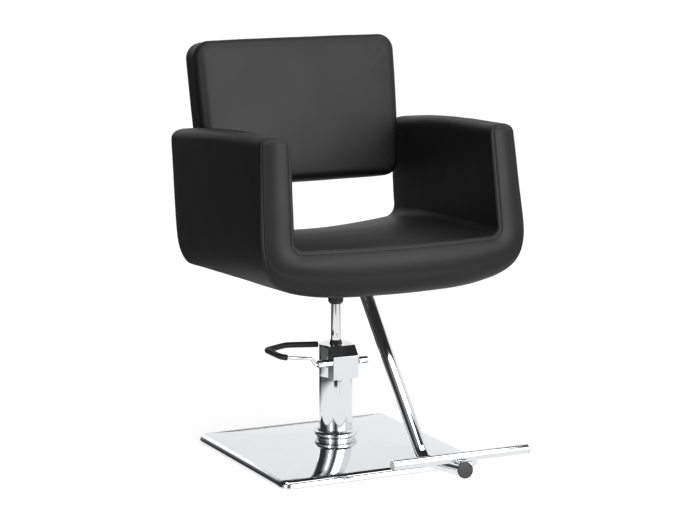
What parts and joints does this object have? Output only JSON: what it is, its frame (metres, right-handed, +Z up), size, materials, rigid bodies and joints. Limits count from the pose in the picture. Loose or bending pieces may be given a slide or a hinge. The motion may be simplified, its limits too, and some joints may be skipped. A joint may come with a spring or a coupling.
{
  "type": "hairdressing chair",
  "caption": "Salon styling chair with a padded U-shaped seat and arms, a hung back pad, a bent-tube footrest and a foot-pumped hydraulic column on a square chrome base.",
  "frame": {"origin": "on the floor, under the column axis, at the middle of the square base", "axes": "+Z up along the column, -Y the way the sitter faces, +X to the sitter's left"},
  "size_m": [0.698, 0.9669, 1.0152],
  "materials": {
    "chrome_plate": "mirror",
    "bare_steel": "machined",
    "bearing_bronze": "machined",
    "black_enamel": "satin",
    "black_rubber": "matte",
    "black_vinyl": "satin",
    "plywood": "sanded",
    "dark_grey_plastic": "matte",
    "pale_grey_plastic": "satin"
  },
  "bodies": {
    "base": {"floor_plate": "bare_steel", "base_cover": "chrome_plate", "column_ring": "chrome_plate", "pump_sleeve": "chrome_plate", "pump_cylinder": "bare_steel", "base_bolt_1": "bare_steel", "base_bolt_2": "bare_steel", "base_bolt_3": "bare_steel", "base_bolt_4": "bare_steel", "pump_head": "chrome_plate", "guide_bush": "bearing_bronze", "rod_seal": "black_rubber", "shaft_block_left": "bare_steel", "shaft_block_right": "bare_steel", "plunger_barrel": "bare_steel", "plunger_spring": "bare_steel", "pump_cover": "chrome_plate"},
    "lever": {"lever_shaft": "bare_steel", "lever_hub": "chrome_plate", "shaft_nut": "chrome_plate", "pump_rocker": "bare_steel", "lever_rod": "chrome_plate", "lever_grip": "black_rubber"},
    "plunger": {"pump_plunger": "bare_steel"},
    "piston": {"piston_rod": "chrome_plate", "piston_head": "bare_steel", "piston_seal": "black_rubber", "swivel_washer": "bearing_bronze"},
    "seat": {"seat_socket": "black_enamel", "mount_plate": "black_enamel", "mount_bolt_1": "bare_steel", "mount_bolt_2": "bare_steel", "mount_bolt_3": "bare_steel", "mount_bolt_4": "bare_steel", "seat_board": "plywood", "seat_shell": "black_vinyl", "back_pad": "black_vinyl", "back_stud_left_lower": "bare_steel", "back_stud_left_upper": "bare_steel", "back_stud_right_lower": "bare_steel", "back_stud_right_upper": "bare_steel", "footrest_flange": "black_enamel", "footrest_bolt_1": "bare_steel", "footrest_bolt_2": "bare_steel", "footrest_bolt_3": "bare_steel", "footrest_bolt_4": "bare_steel", "footrest_post": "chrome_plate", "post_cap": "dark_grey_plastic", "footrest_bar": "chrome_plate", "bar_plug_left": "pale_grey_plastic", "bar_plug_right": "pale_grey_plastic"}
  },
  "joints": [
    {"name": "lift", "type": "slide", "parent": "base", "child": "piston", "axis": [0, 0, 1], "range_m": [-0.075, 0.065]},
    {"name": "swivel", "type": "hinge", "parent": "piston", "child": "seat", "pos_m": [0, 0, 0.45], "axis": [0, 0, 1], "continuous": true},
    {"name": "lever_pivot", "type": "hinge", "parent": "base", "child": "lever", "pos_m": [0, -0.046, 0.24], "axis": [1, 0, 0], "range_deg": [-20, 6], "stiffness_Nm_per_rad": 20, "springref_deg": 0.34},
    {"name": "plunger_slide", "type": "slide", "parent": "base", "child": "plunger", "axis": [0, 0, 1], "range_m": [-0.0045, 0.0014], "deforming": ["plunger_spring"]}
  ],
  "couplings": [
    {"joint": "plunger_slide", "follows": "lever_pivot", "m_per_rad": 0.012}
  ]
}
